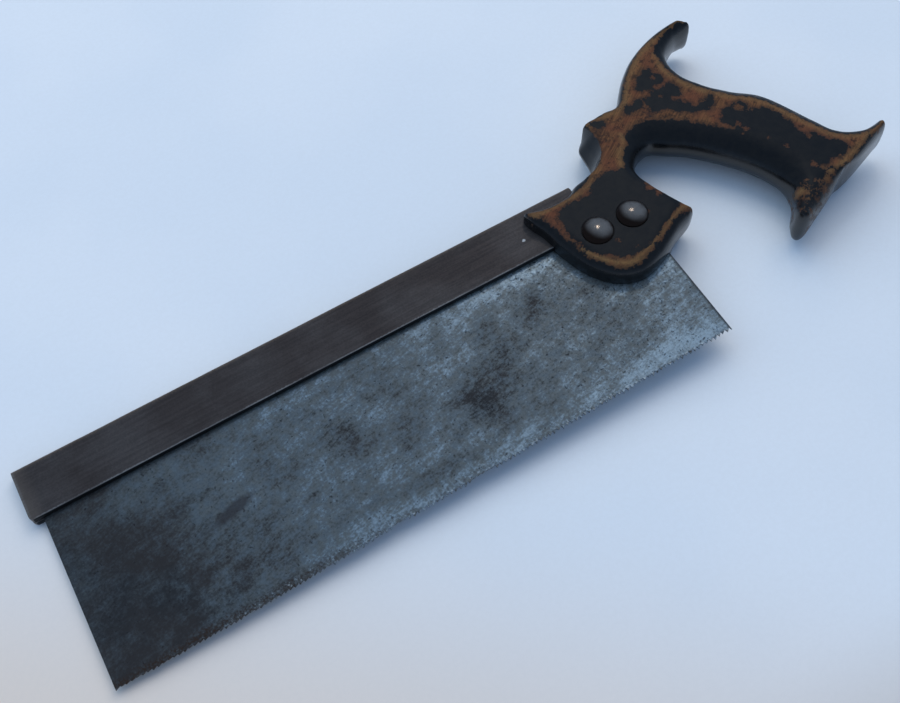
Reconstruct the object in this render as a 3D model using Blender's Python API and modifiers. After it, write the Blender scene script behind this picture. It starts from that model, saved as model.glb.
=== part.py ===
"""A back saw: a toothed plate in a folded steel back, and an open wooden handle held by two bolts and nuts.

The saw lies flat. It is drawn in millimetres in a drawing frame: x runs from the toe to the heel along the
back, y from the teeth to the back, and z up from the middle of the plate, with x = 0 and y = 0 at the toe
end of the tooth line. An empty then sets the drawing down with its lower face at z = 0.
"""

import math

import bmesh
import bpy
import numpy as np
from mathutils import Matrix, Vector
from mathutils.geometry import delaunay_2d_cdt

MM = 0.001
GAP = 0.3  # left between pieces that touch

# Plate
PLATE_LENGTH = 305.0
PLATE_THICKNESS = 0.8
PLATE_TOP = 95.0  # its hidden upper edge, inside the back
HEEL_RISE = 6.3  # the tooth line rises by this much from toe to heel
TOE_BULGE = 1.0  # the tooth line bellies out by this much, over this length from the toe
TOE_BULGE_LENGTH = 130.0
HEEL_CLIP = 13.0  # the hidden corner cut off the plate inside the handle
TOOTH_COUNT = 133
TOOTH_RAKE = math.radians(14)
TOOTH_BACK = math.radians(46)

# Back
BACK_TOP = 111.6
BACK_DEPTH = 27.1
BACK_THICKNESS = 6.8
BACK_START = -5.0
BACK_END = 284.0
BACK_STRIP = 2.7  # the folded strip's own thickness
BACK_FOLD_RADIUS = 2.9
BACK_CORNER_RADIUS = 2.2

# Handle
HANDLE_THICKNESS = 23.0
HALF_HANDLE = HANDLE_THICKNESS / 2

# Bolts and nuts
BOLT_PLACES = {"front": (278.5, 77.5), "rear": (297.5, 77.0)}
HEAD_RADIUS = 7.5
HEAD_RIM = 0.9
HEAD_RISE = 2.4
HEAD_SINK = 0.5  # how far the head's underside sits below the wood
SHANK_RADIUS = 2.4
NECK_WIDTH = 5.6
NECK_LENGTH = 3.5
NUT_RADIUS = 6.3
NUT_THICKNESS = 4.0
NUT_SINK = 0.2
NUT_SLOT_WIDTH = 1.3
NUT_SLOT_DEPTH = 1.2

# How the handle's edge is rounded over, as a quarter ellipse: width in from the outline, depth from the face
CRISP = (3.0, 4.5)
SOFT = (5.0, 7.0)
CHEEK = (7.0, 9.0)
TIP = (2.6, 9.0)
HORN = (4.0, 6.5)
HOOK = (9.0, 10.5)
REAR = (5.0, 9.0)
PALM = (8.0, 10.0)
FINGERS = (14.0, 11.2)
ARRIS = (1.0, 1.2)

# The handle's outline, counterclockwise from the tip of the nose that laps over the back.
HANDLE_OUTLINE = (
    # the cheek's round lower edge, up to its rear corner
    (254.6, 104.8, CRISP), (254.8, 99.0, CRISP), (257.4, 92.0, SOFT), (260.2, 79.0, CHEEK),
    (265.6, 63.8, CHEEK), (274.6, 53.2, CHEEK), (286.0, 49.0, CHEEK), (299.0, 52.0, CHEEK),
    (314.0, 60.2, CHEEK), (323.5, 64.2, CHEEK), (326.3, 66.8, CHEEK), (323.9, 70.0, SOFT),
    # the gap for the fingers, down to the front lower horn
    (318.7, 79.5, CRISP), (315.6, 88.5, CRISP), (315.0, 95.5, SOFT), (317.0, 101.5, PALM),
    (322.5, 107.3, PALM), (331.0, 109.3, FINGERS), (338.5, 104.8, FINGERS), (346.5, 98.8, FINGERS),
    (356.0, 88.7, FINGERS), (367.2, 73.2, FINGERS), (372.8, 59.5, FINGERS), (373.0, 51.5, PALM),
    (370.5, 46.0, PALM), (366.3, 40.8, HORN), (363.8, 36.4, TIP), (364.8, 33.0, TIP), (367.8, 31.9, TIP),
    # between the two lower horns
    (375.5, 34.8, PALM), (388.5, 40.7, PALM), (394.8, 44.0, SOFT), (398.5, 46.2, ARRIS),
    (402.4, 46.8, ARRIS), (408.8, 47.8, CRISP), (420.6, 51.6, HORN), (429.3, 54.6, TIP),
    (433.9, 56.4, TIP), (434.3, 59.0, TIP), (432.6, 60.9, TIP),
    # the palm side of the grip, up into the hook of the top horn
    (428.5, 61.0, REAR), (422.0, 61.3, REAR), (411.9, 67.0, SOFT), (407.0, 80.5, PALM),
    (395.5, 105.0, PALM), (384.3, 115.7, PALM), (373.2, 127.0, SOFT), (368.0, 139.0, SOFT),
    (371.3, 151.3, HOOK), (382.5, 159.5, HOOK), (392.8, 161.8, TIP), (392.6, 163.8, TIP),
    # the front of the top horn, and the bulge with its stopped chamfer
    (388.5, 167.4, TIP), (386.5, 168.0, TIP), (377.5, 167.5, HORN), (364.0, 164.0, HORN),
    (350.8, 157.5, HORN), (341.0, 149.8, HORN), (334.8, 143.3, HORN), (330.3, 138.2, HORN),
    (327.3, 135.9, CRISP), (321.5, 136.3, CRISP), (314.5, 135.8, CRISP), (308.5, 134.0, ARRIS),
    (302.3, 129.0, ARRIS), (301.4, 127.4, ARRIS), (300.6, 121.0, ARRIS), (299.5, 114.1, ARRIS),
    (296.8, 110.2, ARRIS),
    # the neck, and back along the top of the cheek
    (289.0, 107.9, SOFT), (283.0, 106.3, SOFT), (279.5, 103.2, CRISP), (273.0, 102.1, CRISP),
    (264.0, 102.6, CRISP),
)
# On each face of the bulge, a stopped chamfer falls from an arc on the face to the bulge's front edge.
CHAMFER_CENTRE = (290.0, 124.6)
CHAMFER_RADIUS = 18.2
CHAMFER_LAND = 0.8  # what the two chamfers leave between them at the edge, on each side of the middle
OUTLINE_STEP = 3.4
FINE_STEP = 0.5
EDGE_ANGLES = (25.0, 50.0, 72.0, 90.0)


# ---------------------------------------------------------------- shared helpers


def empty_the_scene():
    """Remove every object of the start-up scene."""
    for item in list(bpy.data.objects):
        bpy.data.objects.remove(item, do_unlink=True)


def new_collection(name):
    collection = bpy.data.collections.new(name)
    bpy.context.scene.collection.children.link(collection)
    return collection


def new_material(name, colour, roughness, metallic):
    """A Principled BSDF in one colour."""
    material = bpy.data.materials.new(name)
    material.use_nodes = True
    shader = material.node_tree.nodes["Principled BSDF"]
    shader.inputs["Base Color"].default_value = (*colour, 1.0)
    shader.inputs["Roughness"].default_value = roughness
    shader.inputs["Metallic"].default_value = metallic
    return material


def as_part(item, material):
    """Put a piece in the saw's collection, under its empty, with its material."""
    PARTS.objects.link(item)
    item.parent = DRAWING
    item.data.materials.append(material)
    return item


def as_cutter(item, collection):
    """Put a cutter where a Boolean modifier finds it and nothing shows it."""
    collection.objects.link(item)
    item.parent = DRAWING
    item.hide_render = True
    item.display_type = "WIRE"
    return item


def object_from(bm, name):
    """Make an object of a bmesh that is drawn in millimetres."""
    bmesh.ops.scale(bm, vec=(MM, MM, MM), verts=bm.verts)
    bmesh.ops.recalc_face_normals(bm, faces=bm.faces)
    mesh = bpy.data.meshes.new(name)
    bm.to_mesh(mesh)
    bm.free()
    return bpy.data.objects.new(name, mesh)


def box(name, low, high):
    """A box between two corners."""
    bm = bmesh.new()
    size = [b - a for a, b in zip(low, high)]
    middle = [(a + b) / 2 for a, b in zip(low, high)]
    bmesh.ops.create_cube(bm, size=1, matrix=Matrix.Translation(middle) @ Matrix.Diagonal((*size, 1)))
    return object_from(bm, name)


def upright_cylinder(name, centre, radius, low, high, sides=32):
    """A cylinder along z between two heights."""
    bm = bmesh.new()
    place = Matrix.Translation((*centre, (low + high) / 2))
    bmesh.ops.create_cone(
        bm, cap_ends=True, segments=sides, radius1=radius, radius2=radius, depth=high - low, matrix=place
    )
    return object_from(bm, name)


def flat_shape(name, outline, thickness):
    """A flat plate of this outline, half of its thickness on each side of z = 0."""
    bm = bmesh.new()
    lower = bm.faces.new([bm.verts.new((x, y, -thickness / 2)) for x, y in outline])
    raised = bmesh.ops.extrude_face_region(bm, geom=[lower])
    upper = [v for v in raised["geom"] if isinstance(v, bmesh.types.BMVert)]
    bmesh.ops.translate(bm, vec=(0, 0, thickness), verts=upper)
    return object_from(bm, name)


def turned(name, profile, centre, closed, sides=32):
    """Turn a profile of (radius, z), given down its outer side, about a vertical axis at the centre."""
    bm = bmesh.new()
    corners = [bm.verts.new((radius, 0, z)) for radius, z in profile]
    pairs = list(zip(corners, corners[1:]))
    if closed:
        pairs.append((corners[-1], corners[0]))
    for pair in pairs:
        bm.edges.new(pair)
    item = object_from(bm, name)
    item.location = (centre[0] * MM, centre[1] * MM, 0)
    screw = item.modifiers.new("turn", "SCREW")
    screw.steps = sides
    screw.render_steps = sides
    screw.use_merge_vertices = True
    screw.merge_threshold = 0.00001
    screw.use_smooth_shade = True
    return item


def boolean(item, other, operation):
    modifier = item.modifiers.new(operation.lower(), "BOOLEAN")
    modifier.operation = operation
    modifier.solver = "EXACT"
    if isinstance(other, bpy.types.Collection):
        modifier.operand_type = "COLLECTION"
        modifier.collection = other
    else:
        modifier.object = other


# ---------------------------------------------------------------- plate


def tooth_line(x):
    """Height of the tooth line at this place along the plate."""
    belly = TOE_BULGE * math.sin(math.pi * min(x / TOE_BULGE_LENGTH, 1.0))
    return HEEL_RISE * x / PLATE_LENGTH - belly


def plate_outline(grow=0.0):
    """The plate's outline, or without teeth and this much larger all round."""
    pitch = PLATE_LENGTH / TOOTH_COUNT
    depth = pitch / (math.tan(TOOTH_RAKE) + math.tan(TOOTH_BACK))
    heel = PLATE_LENGTH + grow
    top = PLATE_TOP + grow
    corners = [(heel, top - HEEL_CLIP), (heel - HEEL_CLIP, top), (-grow, top)]
    if grow:
        return [(-grow, -grow), (heel, -grow)] + corners
    teeth = []
    for i in range(TOOTH_COUNT):
        tip = i * pitch
        gullet = tip + depth * math.tan(TOOTH_BACK)
        teeth += [(tip, tooth_line(tip)), (gullet, tooth_line(gullet) + depth)]
    return teeth + [(PLATE_LENGTH, HEEL_RISE)] + corners


def make_plate():
    plate = flat_shape("saw_plate", plate_outline(), PLATE_THICKNESS)
    as_part(plate, new_material("plate_steel", (0.085, 0.105, 0.125), 0.5, 0.85))
    for name, place in BOLT_PLACES.items():
        reach = PLATE_THICKNESS
        hole = upright_cylinder(name + "_plate_hole", place, SHANK_RADIUS + GAP, -reach, reach)
        boolean(plate, as_cutter(hole, CUTTERS), "DIFFERENCE")


# ---------------------------------------------------------------- back


def make_back():
    """A strip folded over the plate: a long bar with a round top, slotted from below."""
    bottom = BACK_TOP - BACK_DEPTH
    bm = bmesh.new()
    size = (BACK_END - BACK_START, BACK_DEPTH, BACK_THICKNESS)
    middle = ((BACK_START + BACK_END) / 2, BACK_TOP - BACK_DEPTH / 2, 0)
    bmesh.ops.create_cube(bm, size=1, matrix=Matrix.Translation(middle) @ Matrix.Diagonal((*size, 1)))
    fold = [e for e in bm.edges if all(v.co.y > BACK_TOP - 1 for v in e.verts)]
    fold = [e for e in fold if abs(e.verts[0].co.x - e.verts[1].co.x) > 1]
    bmesh.ops.bevel(
        bm, geom=fold, offset=BACK_FOLD_RADIUS, segments=6, profile=0.5, affect="EDGES", clamp_overlap=True
    )
    corner = [e for e in bm.edges if all(v.co.y < bottom + 1 and v.co.x < BACK_START + 1 for v in e.verts)]
    bmesh.ops.bevel(
        bm, geom=corner, offset=BACK_CORNER_RADIUS, segments=4, profile=0.5, affect="EDGES", clamp_overlap=True
    )
    back = object_from(bm, "steel_back")
    as_part(back, new_material("back_steel", (0.036, 0.034, 0.040), 0.55, 0.8))
    slot_half = PLATE_THICKNESS / 2 + GAP
    slot = box(
        "fold_slot",
        (BACK_START - 5, bottom - 5, -slot_half),
        (BACK_END + 5, BACK_TOP - BACK_STRIP, slot_half),
    )
    as_cutter(slot, CUTTERS)
    boolean(back, slot, "DIFFERENCE")


# ---------------------------------------------------------------- handle


def smooth_outline(anchors, step):
    """Points and edge roundings about this far apart, on a centripetal Catmull-Rom curve through anchors."""
    rows = np.array([(x, y, *edge) for x, y, edge in anchors])
    count = len(rows)
    found = []
    for i in range(count):
        a, b, c, d = (rows[(i + k) % count] for k in (-1, 0, 1, 2))
        knots = np.cumsum([0.0] + [np.linalg.norm(q[:2] - p[:2]) ** 0.5 for p, q in ((a, b), (b, c), (c, d))])
        steps = max(1, round(float(np.linalg.norm(c[:2] - b[:2])) / step))
        for t in np.linspace(knots[1], knots[2], steps, endpoint=False):
            low = mix(a, b, knots[0], knots[1], t)
            middle = mix(b, c, knots[1], knots[2], t)
            high = mix(c, d, knots[2], knots[3], t)
            first = mix(low, middle, knots[0], knots[2], t)
            second = mix(middle, high, knots[1], knots[3], t)
            row = mix(first, second, knots[1], knots[2], t)
            row[2:] = mix(b, c, knots[1], knots[2], t)[2:]
            found.append(row)
    return np.array(found)


def mix(first, second, start, end, at):
    """Blend linearly from first at start to second at end."""
    part = (at - start) / (end - start)
    return first * (1 - part) + second * part


def distances(points, others):
    """Distance from each point to each other point, in the plane of the saw."""
    return np.linalg.norm(points[:, None, :2] - others[None, :, :2], axis=2)


def face_height(points, outline):
    """Height of the handle's upper surface above its middle, at each point inside the outline."""
    width, depth = outline[:, 2], outline[:, 3]
    from_edge = distances(points, outline)
    part = np.minimum(from_edge / width, 1.0)
    rounded = (HALF_HANDLE - depth * (1 - np.sqrt(1 - (1 - part) ** 2))).min(axis=1)
    from_arc = np.maximum(CHAMFER_RADIUS - distances(points, np.array([CHAMFER_CENTRE]))[:, 0], 0.0)
    fall = from_arc / (from_arc + from_edge.min(axis=1) + 0.001)
    return np.minimum(rounded, HALF_HANDLE - (HALF_HANDLE - CHAMFER_LAND) * fall)


def edge_rings(outline, fine):
    """Rings of points inside the outline that follow its rounded edge, cut where two edges would meet."""
    along = np.roll(outline[:, :2], -1, axis=0) - np.roll(outline[:, :2], 1, axis=0)
    along /= np.linalg.norm(along, axis=1)[:, None]
    inward = np.stack([-along[:, 1], along[:, 0]], axis=1)
    for angle in EDGE_ANGLES:
        inset = outline[:, 2] * (1 - math.cos(math.radians(angle)))
        ring = outline[:, :2] + inward * inset[:, None]
        clear = distances(ring, fine).min(axis=1) > 0.95 * inset
        yield ring, clear


def chamfer_rim(outline):
    """The arc where the stopped chamfer meets the face, and which of its points are on the handle."""
    turns = np.radians(np.arange(-90.0, 40.0, 8.0))
    ring = np.array(CHAMFER_CENTRE) + CHAMFER_RADIUS * np.stack([np.cos(turns), np.sin(turns)], axis=1)
    sides = np.roll(outline[:, :2], -1, axis=0) - outline[:, :2]
    nearest = distances(ring, outline).argmin(axis=1)
    offset = ring - outline[nearest, :2]
    inside = sides[nearest, 0] * offset[:, 1] - sides[nearest, 1] * offset[:, 0]
    return ring, inside > 1.0


def make_handle_blank():
    """The handle before it is cut: a board sawn to the outline, its edges rounded over on both faces."""
    outline = smooth_outline(HANDLE_OUTLINE, OUTLINE_STEP)
    fine = smooth_outline(HANDLE_OUTLINE, FINE_STEP)
    plan = [Vector(row[:2]) for row in outline]
    creases = []
    for ring, kept in list(edge_rings(outline, fine)) + [chamfer_rim(outline)]:
        numbers = {}
        for i in np.flatnonzero(kept):
            numbers[i] = len(plan)
            plan.append(Vector(ring[i]))
        creases += [(number, numbers[i + 1]) for i, number in numbers.items() if i + 1 in numbers]
    rim = list(range(len(outline)))
    points, _, faces, *_ = delaunay_2d_cdt(plan, creases, [rim], 1, 0.05)
    heights = face_height(np.array([tuple(p) for p in points]), fine)
    bm = bmesh.new()
    top = [bm.verts.new((p.x, p.y, z)) for p, z in zip(points, heights)]
    for face in faces:
        bm.faces.new([top[i] for i in face])
    wall = bmesh.ops.extrude_edge_only(bm, edges=[e for e in bm.edges if e.is_boundary])
    for vert in [v for v in wall["geom"] if isinstance(v, bmesh.types.BMVert)]:
        vert.co.z = 0
    handle = object_from(bm, "handle")
    mirror = handle.modifiers.new("lower_half", "MIRROR")
    mirror.use_axis = (False, False, True)
    mirror.merge_threshold = 0.00001
    return handle


def make_handle():
    handle = make_handle_blank()
    as_part(handle, new_material("handle_wood", (0.060, 0.034, 0.022), 0.45, 0.0))
    below = -HALF_HANDLE - 1
    above = HALF_HANDLE + 1
    kerf = flat_shape("kerf", plate_outline(GAP), PLATE_THICKNESS + 2 * GAP)
    as_cutter(kerf, HANDLE_CUTTERS)
    half = BACK_THICKNESS / 2 + GAP
    mortise = box(
        "back_mortise",
        (BACK_START, BACK_TOP - BACK_DEPTH - GAP, -half),
        (BACK_END + GAP, BACK_TOP + GAP, half),
    )
    as_cutter(mortise, HANDLE_CUTTERS)
    for name, place in BOLT_PLACES.items():
        hole = upright_cylinder(name + "_bolt_hole", place, SHANK_RADIUS + GAP, below, above)
        seat_floor = HALF_HANDLE - HEAD_SINK - GAP
        seat = upright_cylinder(name + "_head_seat", place, HEAD_RADIUS + GAP, seat_floor, above)
        nut_roof = -HALF_HANDLE + NUT_SINK + NUT_THICKNESS + GAP
        nut_seat = upright_cylinder(name + "_nut_seat", place, NUT_RADIUS + GAP, below, nut_roof)
        side = NECK_WIDTH / 2 + GAP
        x, y = place
        neck_floor = HALF_HANDLE - HEAD_SINK - NECK_LENGTH - GAP
        neck = box(name + "_neck_seat", (x - side, y - side, neck_floor), (x + side, y + side, above))
        for cutter in (hole, seat, nut_seat, neck):
            as_cutter(cutter, HANDLE_CUTTERS)
    boolean(handle, HANDLE_CUTTERS, "DIFFERENCE")


# ---------------------------------------------------------------- bolts and nuts


def make_bolt(name, place, material):
    """A domed head on a round shank, with a square neck that keeps it from turning in the wood."""
    base = HALF_HANDLE - HEAD_SINK
    rim = base + HEAD_RIM
    sphere = (HEAD_RADIUS**2 + HEAD_RISE**2) / (2 * HEAD_RISE)
    steps = 6
    profile = []
    for i in range(steps + 1):
        radius = HEAD_RADIUS * i / steps
        profile.append((radius, rim + HEAD_RISE - sphere + math.sqrt(sphere**2 - radius**2)))
    end = -HALF_HANDLE + NUT_SINK
    profile += [(HEAD_RADIUS, base), (SHANK_RADIUS, base), (SHANK_RADIUS, end + 0.4)]
    profile += [(SHANK_RADIUS - 0.4, end), (0, end)]
    bolt = as_part(turned(name + "_bolt", profile, place, closed=False), material)
    side = NECK_WIDTH / 2
    x, y = place
    low = (x - side, y - side, base - NECK_LENGTH)
    neck = as_cutter(box(name + "_neck", low, (x + side, y + side, base + 0.3)), CUTTERS)
    boolean(bolt, neck, "UNION")


def make_nut(name, place, material):
    """A round nut let in flush, with a slot across it for a forked driver."""
    low = -HALF_HANDLE + NUT_SINK
    high = low + NUT_THICKNESS
    hole = SHANK_RADIUS + GAP
    profile = [(hole, high), (NUT_RADIUS, high), (NUT_RADIUS, low + 0.4), (NUT_RADIUS - 0.4, low), (hole, low)]
    nut = as_part(turned(name + "_nut", profile, place, closed=True), material)
    x, y = place
    half = NUT_SLOT_WIDTH / 2
    slot = box(
        name + "_nut_slot",
        (x - NUT_RADIUS - 1, y - half, low - 1),
        (x + NUT_RADIUS + 1, y + half, low + NUT_SLOT_DEPTH),
    )
    boolean(nut, as_cutter(slot, CUTTERS), "DIFFERENCE")


def make_fasteners():
    material = new_material("bolt_steel", (0.10, 0.095, 0.09), 0.38, 0.9)
    for name, place in BOLT_PLACES.items():
        make_bolt(name, place, material.copy())
        make_nut(name, place, material.copy())


# ---------------------------------------------------------------- the saw


def drawing_offset():
    """Where the drawing's origin goes, so that the saw's lower face is centred on the part's origin."""
    outline = smooth_outline(HANDLE_OUTLINE, OUTLINE_STEP)
    middle_x = (BACK_START + outline[:, 0].max()) / 2
    middle_y = (min(y for x, y in plate_outline()) + outline[:, 1].max()) / 2
    return (-middle_x * MM, -middle_y * MM, HALF_HANDLE * MM)


empty_the_scene()
PARTS = new_collection("back_saw")
CUTTERS = new_collection("cutters")
HANDLE_CUTTERS = new_collection("handle_cutters")
DRAWING = bpy.data.objects.new("drawing", None)
DRAWING.location = drawing_offset()
PARTS.objects.link(DRAWING)

make_plate()
make_back()
make_handle()
make_fasteners()
print("drawing origin in the part's frame, mm:", [round(v / MM, 3) for v in DRAWING.location])
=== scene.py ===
"""The looks of the back saw: worn steel, chipped finish on wood, a pale floor, soft light and a camera.

Every piece is drawn in millimetres in the saw's drawing frame: x runs from the toe to the heel, y from the
teeth to the back and z up from the middle of the plate. The frame's own plate says where that drawing lies.
"""

import math

import bmesh
import bpy
import numpy as np
from mathutils import Matrix, Vector, noise
from mathutils.geometry import delaunay_2d_cdt


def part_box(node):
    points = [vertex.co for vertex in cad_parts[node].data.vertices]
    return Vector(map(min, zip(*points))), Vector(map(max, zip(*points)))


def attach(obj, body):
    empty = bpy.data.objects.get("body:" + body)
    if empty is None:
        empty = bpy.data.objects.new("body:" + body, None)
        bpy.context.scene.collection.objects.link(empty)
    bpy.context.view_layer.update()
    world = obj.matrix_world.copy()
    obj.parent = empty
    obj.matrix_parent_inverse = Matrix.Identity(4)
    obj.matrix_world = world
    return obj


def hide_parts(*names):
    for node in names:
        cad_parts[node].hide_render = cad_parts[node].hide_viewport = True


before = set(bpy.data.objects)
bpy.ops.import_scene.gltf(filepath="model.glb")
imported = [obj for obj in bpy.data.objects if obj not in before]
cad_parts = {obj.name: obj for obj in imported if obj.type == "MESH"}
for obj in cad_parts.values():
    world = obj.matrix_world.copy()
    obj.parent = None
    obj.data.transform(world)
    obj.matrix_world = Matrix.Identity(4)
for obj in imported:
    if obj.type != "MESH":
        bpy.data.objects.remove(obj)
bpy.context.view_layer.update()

MM = 0.001
GAP = 0.3  # left between pieces that touch


def frame_box(node):
    """A CAD node's lowest and highest corners, in millimetres in the drawing frame."""
    low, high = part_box(node)
    return [(v - ORIGIN) / MM for v in (low, high)]


def middle_of(node):
    low, high = frame_box(node)
    return ((low.x + high.x) / 2, (low.y + high.y) / 2)


PLATE_TOP = 95.0  # the plate's upper edge, above the tooth line at the toe
PLATE_LOW, PLATE_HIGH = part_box("saw_plate")
ORIGIN = Vector((PLATE_LOW.x, PLATE_HIGH.y - PLATE_TOP * MM, (PLATE_LOW.z + PLATE_HIGH.z) / 2))
BACK_LOW, BACK_HIGH = frame_box("steel_back")
HANDLE_LOW, HANDLE_HIGH = frame_box("handle")
HEAD_LOW, HEAD_HIGH = frame_box("front_bolt")
NUT_LOW, NUT_HIGH = frame_box("front_nut")
HALF_HANDLE = HANDLE_HIGH.z
BODY = "root"

# Plate. Lengths are in millimetres and angles in degrees, where nothing else is said.
PLATE_LENGTH = (PLATE_HIGH.x - PLATE_LOW.x) / MM
PLATE_THICKNESS = (PLATE_HIGH.z - PLATE_LOW.z) / MM
HEEL_RISE = 6.3
TOE_BULGE = 1
TOE_BULGE_LENGTH = 130
HEEL_CLIP = 13
TOOTH_COUNT = 133
TOOTH_RAKE = math.radians(14)
TOOTH_BACK = math.radians(46)
TOOTH_SET = 0.22  # how far a tooth's tip is bent out of the plate
TOOTH_UNEVEN = 0.1  # how far a tooth may be out of place
TOOTH_WEAR = 0.12  # part of a tooth's depth that is worn off
TOE_WEAR = 0.48  # the same, more of it by the toe
TOE_WEAR_LENGTH = 110
BROKEN_TEETH = (22, 58, 95, 131, 168, 174)  # how far from the toe
BROKEN_REACH = 2.6
BROKEN_PART = 0.75  # part of its depth that a broken tooth has lost
PLATE_MESH_STEP = 6

# Back
BACK_STRIP = 2.7
BACK_FOLD_RADIUS = 2.9
BACK_CORNER_RADIUS = 2.2
BACK_BEAD = 0.5
BACK_BEVEL = 0.3
BACK_STEP = 3

# Bolts and nuts
BOLT_PLACES = {name: middle_of(name + "_bolt") for name in ("front", "rear")}
HEAD_RADIUS = (HEAD_HIGH.x - HEAD_LOW.x) / 2
HEAD_RIM = 0.9
HEAD_SINK = 0.5
HEAD_EDGE = 0.25
SHANK_RADIUS = 2.4
HOLE_RADIUS = SHANK_RADIUS + GAP
NUT_RADIUS = (NUT_HIGH.x - NUT_LOW.x) / 2
NUT_TOP = NUT_HIGH.z
NUT_SINK = 0.2
NUT_EDGE = 0.4
NUT_SLOT_WIDTH = 1.3
NUT_SLOT_DEPTH = 1.2

# The quarter ellipse that rounds the handle's edge: width in from the outline, depth from the face
CRISP = (3, 4.5)
SOFT = (5, 7)
CHEEK = (7, 9)
TIP = (2.6, 9)
HORN = (4, 6.5)
HOOK = (9, 10.5)
REAR = (5, 9)
PALM = (8, 10)
FINGERS = (14, 11.2)
ARRIS = (1, 1.2)

# The handle's outline, counterclockwise from the tip of the nose that laps over the back.
HANDLE_OUTLINE = (
    # the cheek's round lower edge, up to its rear corner
    (254.6, 104.8, CRISP), (254.8, 99, CRISP), (257.4, 92, SOFT), (260.2, 79, CHEEK),
    (265.6, 63.8, CHEEK), (274.6, 53.2, CHEEK), (286, 49, CHEEK), (299, 52, CHEEK),
    (314, 60.2, CHEEK), (323.5, 64.2, CHEEK), (326.3, 66.8, CHEEK), (323.9, 70, SOFT),
    # the gap for the fingers, down to the front lower horn
    (318.7, 79.5, CRISP), (315.6, 88.5, CRISP), (315, 95.5, SOFT), (317, 101.5, PALM),
    (322.5, 107.3, PALM), (331, 109.3, FINGERS), (338.5, 104.8, FINGERS), (346.5, 98.8, FINGERS),
    (356, 88.7, FINGERS), (367.2, 73.2, FINGERS), (372.8, 59.5, FINGERS), (373, 51.5, PALM),
    (370.5, 46, PALM), (366.3, 40.8, HORN), (363.8, 36.4, TIP), (364.8, 33, TIP), (367.8, 31.9, TIP),
    # between the two lower horns
    (375.5, 34.8, PALM), (388.5, 40.7, PALM), (394.8, 44, SOFT), (398.5, 46.2, ARRIS),
    (402.4, 46.8, ARRIS), (408.8, 47.8, CRISP), (420.6, 51.6, HORN), (429.3, 54.6, TIP),
    (433.9, 56.4, TIP), (434.3, 59, TIP), (432.6, 60.9, TIP),
    # the palm side of the grip, up into the hook of the top horn
    (428.5, 61, REAR), (422, 61.3, REAR), (411.9, 67, SOFT), (407, 80.5, PALM),
    (395.5, 105, PALM), (384.3, 115.7, PALM), (373.2, 127, SOFT), (368, 139, SOFT),
    (371.3, 151.3, HOOK), (382.5, 159.5, HOOK), (392.8, 161.8, TIP), (392.6, 163.8, TIP),
    # the front of the top horn, and the bulge with its stopped chamfer
    (388.5, 167.4, TIP), (386.5, 168, TIP), (377.5, 167.5, HORN), (364, 164, HORN),
    (350.8, 157.5, HORN), (341, 149.8, HORN), (334.8, 143.3, HORN), (330.3, 138.2, HORN),
    (327.3, 135.9, CRISP), (321.5, 136.3, CRISP), (314.5, 135.8, CRISP), (308.5, 134, ARRIS),
    (302.3, 129, ARRIS), (301.4, 127.4, ARRIS), (300.6, 121, ARRIS), (299.5, 114.1, ARRIS),
    (296.8, 110.2, ARRIS),
    # the neck, and back along the top of the cheek
    (289, 107.9, SOFT), (283, 106.3, SOFT), (279.5, 103.2, CRISP), (273, 102.1, CRISP),
    (264, 102.6, CRISP),
)
CHAMFER_CENTRE = (290, 124.6)
CHAMFER_RADIUS = 18.2
CHAMFER_LAND = 0.8  # half the height of wall left at the chamfer's deepest point
OUTLINE_STEP = 1.2
FINE_STEP = 0.5
EDGE_SLACK = 0.03  # points this close to the outline lie on it
EDGE_ANGLES = (12, 24, 36, 48, 60, 75, 90)
WOOD_STEP = 1.1  # how far apart the points of the carved surface are
SOFTENINGS = 3
SOFT_FROM_ARC = 1
SOFT_FROM_EDGE = 3
HORN_BREAK = (390.5, 165.5)  # the top horn's tip is broken off here
SPOT_RADIUS = 4.5  # of what is broken off, and of what is rubbed golden there

# The handle's finish
LOWER_HORN = (376, 40)  # round this point the finish is worn thin
LOWER_HORN_RADIUS = 11
CHEEK_END = (328, 98)  # the cheek lies nearer the toe and the teeth than this
CHEEK_GOLDEN = 74  # below this the edge of the cheek's island is rubbed golden
FINISH_RANGE = 7  # the attribute black goes from 0 to 1 over this distance
NOT_HERE = -20.0
RIDGE_HIGHLIGHT_SPOT = (373.8, 46.5)  # rubbed golden, with a painted golden highlight, on the ridge of the front lower horn

# Where the black finish is left on the upper face, island by island, and where it is chipped away.
CHEEK_ISLAND = (
    (269, 95), (272, 97.3), (277, 97.5), (283, 97), (286, 96.3), (289.5, 99), (291.5, 101.3), (295, 103),
    (300, 103), (305, 102.5), (309, 101), (313, 104), (319, 97), (319, 86), (323, 72), (319, 69.3),
    (313.5, 66.8), (306, 63.3), (299, 60.2), (293, 58), (288, 57.4), (284, 57.7), (280.5, 59.2),
    (277, 61.7), (274, 64.2), (271, 67.7), (268.5, 71.7), (267, 76), (266.2, 81), (266, 86), (266.6, 90),
    (267.5, 93),
)
HORN_ISLAND = (
    (342, 138.5), (345, 142), (347.5, 145), (350, 146), (353, 147.3), (356, 146), (355.8, 143),
    (357.8, 140.5), (358.3, 136.5), (355, 135), (351.5, 136), (348, 134.8), (345.5, 137), (343.5, 135.5),
)
SHOULDER_ISLAND = (
    (340, 129), (343, 132), (346, 131), (349, 134), (352, 132), (355, 133.5), (359, 133.5), (361, 131),
    (361.5, 128), (359.5, 125.5), (358, 122.5), (357, 119), (360, 118), (359, 115), (361, 113.5),
    (365, 114.5), (369, 115), (371, 117), (372.3, 115.8), (371, 112.5), (368, 110), (365.5, 108.5),
    (362, 110), (359, 111), (356, 113), (352.5, 115), (350, 117), (349, 120), (346, 121), (342, 121.5),
    (338.5, 121), (340, 124.5), (341.5, 127),
)
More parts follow.
